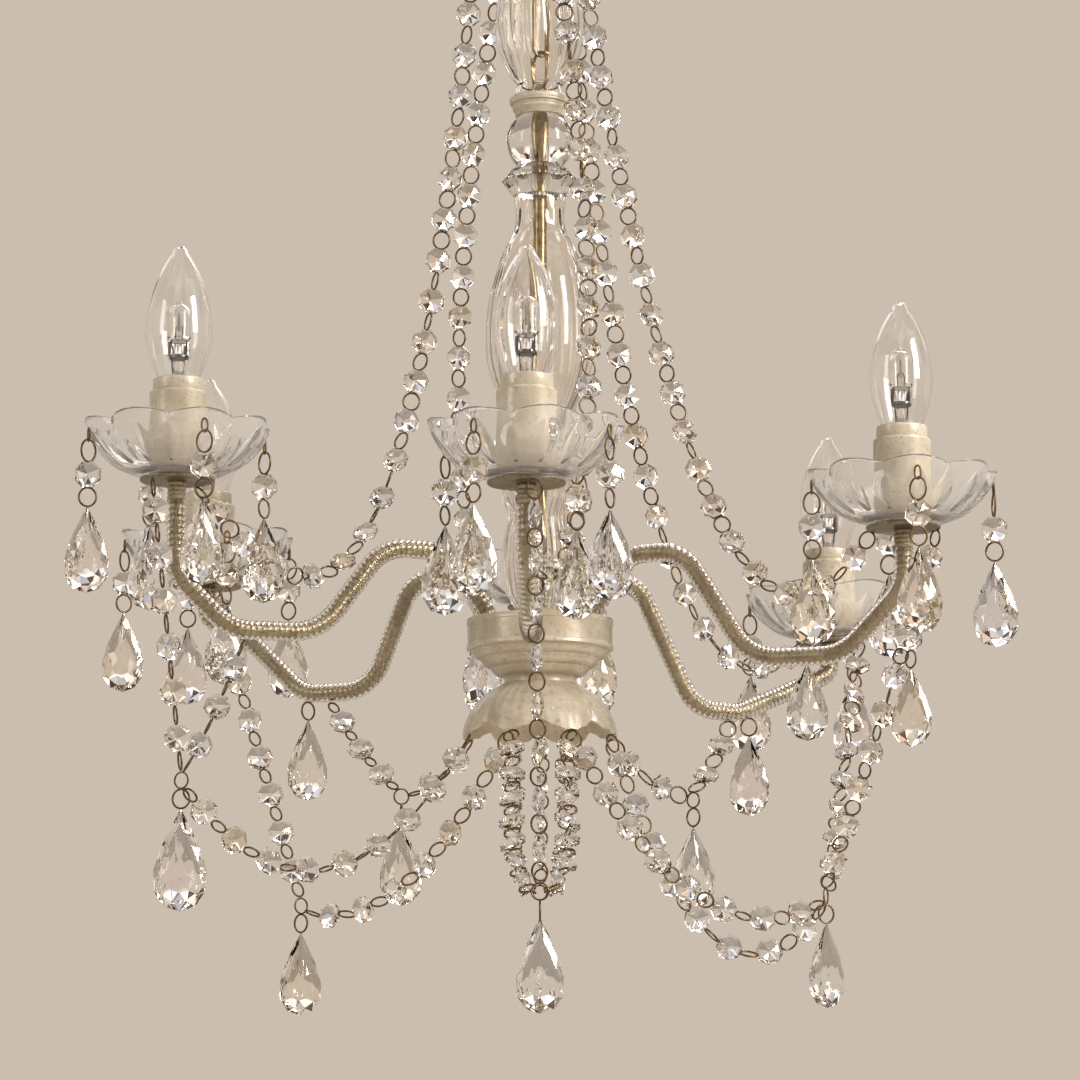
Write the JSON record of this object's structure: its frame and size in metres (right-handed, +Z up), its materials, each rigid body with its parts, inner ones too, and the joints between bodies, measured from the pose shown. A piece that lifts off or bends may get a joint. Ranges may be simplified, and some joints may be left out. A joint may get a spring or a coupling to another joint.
{
  "type": "crystal chandelier",
  "caption": "Crystal chandelier with painted metal arms in glass sleeves, cut-glass dishes, candle bulbs, bead strands and almond drops round a glass column.",
  "frame": {"origin": "inside top of the hanging loop, where the ceiling hook bears", "axes": "+Z up along the centre rod, -Y towards the front arm, +X to the right of it"},
  "size_m": [0.5092, 0.5371, 0.6704],
  "materials": {
    "antique_paint": "distressed matt",
    "dark_metal": "dark satin",
    "clear_glass": "polished",
    "cut_crystal": "faceted",
    "white_ceramic": "glazed"
  },
  "bodies": {
    "frame": {"hanging_loop": "dark_metal", "crown": "antique_paint", "crown_vase": "clear_glass", "long_link": "dark_metal", "oval_link": "dark_metal", "column_cap": "antique_paint", "centre_rod": "dark_metal", "glass_ball": "clear_glass", "glass_collar": "clear_glass", "column_vase": "clear_glass", "lower_vase": "clear_glass", "hub": "antique_paint", "hub_plate": "antique_paint", "petal_dish": "antique_paint", "finial_nut": "antique_paint", "terminal_block": "white_ceramic", "arm_front": "antique_paint", "arm_front_right": "antique_paint", "arm_rear_right": "antique_paint", "arm_back": "antique_paint", "arm_rear_left": "antique_paint", "arm_front_left": "antique_paint", "arm_sleeves": "clear_glass", "arm_nuts": "dark_metal", "candle_cup_front": "antique_paint", "candle_cup_front_right": "antique_paint", "candle_cup_rear_right": "antique_paint", "candle_cup_back": "antique_paint", "candle_cup_rear_left": "antique_paint", "candle_cup_front_left": "antique_paint", "lampholders": "white_ceramic", "upper_strands": "cut_crystal", "lower_strands": "cut_crystal"},
    "dish_front": {"bobeche_front": "clear_glass", "bobeche_drops_front": "cut_crystal"},
    "dish_front_right": {"bobeche_front_right": "clear_glass", "bobeche_drops_front_right": "cut_crystal"},
    "dish_rear_right": {"bobeche_rear_right": "clear_glass", "bobeche_drops_rear_right": "cut_crystal"},
    "dish_back": {"bobeche_back": "clear_glass", "bobeche_drops_back": "cut_crystal"},
    "dish_rear_left": {"bobeche_rear_left": "clear_glass", "bobeche_drops_rear_left": "cut_crystal"},
    "dish_front_left": {"bobeche_front_left": "clear_glass", "bobeche_drops_front_left": "cut_crystal"},
    "lamp_front": {"bulb_front": "clear_glass"},
    "lamp_front_right": {"bulb_front_right": "clear_glass"},
    "lamp_rear_right": {"bulb_rear_right": "clear_glass"},
    "lamp_back": {"bulb_back": "clear_glass"},
    "lamp_rear_left": {"bulb_rear_left": "clear_glass"},
    "lamp_front_left": {"bulb_front_left": "clear_glass"},
    "swing_left": {"pendant_left": "cut_crystal"},
    "swing_rear_left": {"pendant_rear_left": "cut_crystal"},
    "swing_left_swag": {"pendant_left_swag": "cut_crystal"},
    "swing_front": {"pendant_front": "cut_crystal"},
    "swing_right": {"pendant_right": "cut_crystal"},
    "swing_right_swag": {"pendant_right_swag": "cut_crystal"},
    "swing_back": {"pendant_back": "cut_crystal"},
    "swing_rear_left_arm": {"pendant_rear_left_arm": "cut_crystal"},
    "swing_rear_right_arm": {"pendant_rear_right_arm": "cut_crystal"}
  },
  "joints": [
    {"name": "dish_turn_front", "type": "hinge", "parent": "frame", "child": "dish_front", "pos_m": [-0.00685, -0.21789, -0.397], "axis": [0, 0, 1], "range_deg": [-25, 12]},
    {"name": "dish_turn_front_right", "type": "hinge", "parent": "frame", "child": "dish_front_right", "pos_m": [0.19458, -0.09829, -0.4], "axis": [0, 0, 1], "range_deg": [-9, 30]},
    {"name": "dish_turn_rear_right", "type": "hinge", "parent": "frame", "child": "dish_rear_right", "pos_m": [0.17179, 0.13421, -0.43], "axis": [0, 0, 1], "range_deg": [-15, 4]},
    {"name": "dish_turn_back", "type": "hinge", "parent": "frame", "child": "dish_back", "pos_m": [0, 0.218, -0.397], "axis": [0, 0, 1], "range_deg": [-20, 20]},
    {"name": "dish_turn_rear_left", "type": "hinge", "parent": "frame", "child": "dish_rear_left", "pos_m": [-0.19476, 0.09795, -0.402], "axis": [0, 0, 1], "range_deg": [-20, 20]},
    {"name": "dish_turn_front_left", "type": "hinge", "parent": "frame", "child": "dish_front_left", "pos_m": [-0.19493, -0.09761, -0.374], "axis": [0, 0, 1], "range_deg": [-40, 6]},
    {"name": "bulb_screw_front", "type": "hinge", "parent": "frame", "child": "lamp_front", "pos_m": [-0.00685, -0.21789, -0.347], "axis": [0, 0, 1], "range_deg": [0, 900]},
    {"name": "bulb_screw_front_right", "type": "hinge", "parent": "frame", "child": "lamp_front_right", "pos_m": [0.19458, -0.09829, -0.35], "axis": [0, 0, 1], "range_deg": [0, 900]},
    {"name": "bulb_screw_rear_right", "type": "hinge", "parent": "frame", "child": "lamp_rear_right", "pos_m": [0.17179, 0.13421, -0.38], "axis": [0, 0, 1], "range_deg": [0, 900]},
    {"name": "bulb_screw_back", "type": "hinge", "parent": "frame", "child": "lamp_back", "pos_m": [0, 0.218, -0.347], "axis": [0, 0, 1], "range_deg": [0, 900]},
    {"name": "bulb_screw_rear_left", "type": "hinge", "parent": "frame", "child": "lamp_rear_left", "pos_m": [-0.19476, 0.09795, -0.352], "axis": [0, 0, 1], "range_deg": [0, 900]},
    {"name": "bulb_screw_front_left", "type": "hinge", "parent": "frame", "child": "lamp_front_left", "pos_m": [-0.19493, -0.09761, -0.324], "axis": [0, 0, 1], "range_deg": [0, 900]},
    {"name": "swing_left_hinge", "type": "hinge", "parent": "frame", "child": "swing_left", "pos_m": [-0.19, -0.1, -0.5451], "axis": [0.8725, 0.4886, 0], "range_deg": [-25, 25]},
    {"name": "swing_rear_left_hinge", "type": "hinge", "parent": "frame", "child": "swing_rear_left", "pos_m": [-0.135, 0.05, -0.6011], "axis": [0.7976, -0.6032, 0], "range_deg": [-25, 25]},
    {"name": "swing_left_swag_hinge", "type": "hinge", "parent": "frame", "child": "swing_left_swag", "pos_m": [-0.078, 0.03, -0.5411], "axis": [0.9383, -0.3457, 0], "range_deg": [-12, 25]},
    {"name": "swing_front_hinge", "type": "hinge", "parent": "frame", "child": "swing_front", "pos_m": [0, -0.185, -0.6101], "axis": [1, 0, 0], "range_deg": [-25, 25]},
    {"name": "swing_right_hinge", "type": "hinge", "parent": "frame", "child": "swing_right", "pos_m": [0.158, 0, -0.5991], "axis": [0.9776, 0.2106, 0], "range_deg": [-25, 25]},
    {"name": "swing_right_swag_hinge", "type": "hinge", "parent": "frame", "child": "swing_right_swag", "pos_m": [0.087, 0.05, -0.5411], "axis": [0.8102, 0.5861, 0], "range_deg": [-25, 25]},
    {"name": "swing_back_hinge", "type": "hinge", "parent": "frame", "child": "swing_back", "pos_m": [0, 0.194, -0.5831], "axis": [1, 0, 0], "range_deg": [-25, 25]},
    {"name": "swing_rear_left_arm_hinge", "type": "hinge", "parent": "frame", "child": "swing_rear_left_arm", "pos_m": [-0.13311, 0.06695, -0.47842], "axis": [-0.8934, 0.4492, 0], "range_deg": [-25, 25]},
    {"name": "swing_rear_right_arm_hinge", "type": "hinge", "parent": "frame", "child": "swing_rear_right_arm", "pos_m": [0.12135, 0.09481, -0.48444], "axis": [0.7878, 0.6159, 0], "range_deg": [-25, 25]}
  ]
}
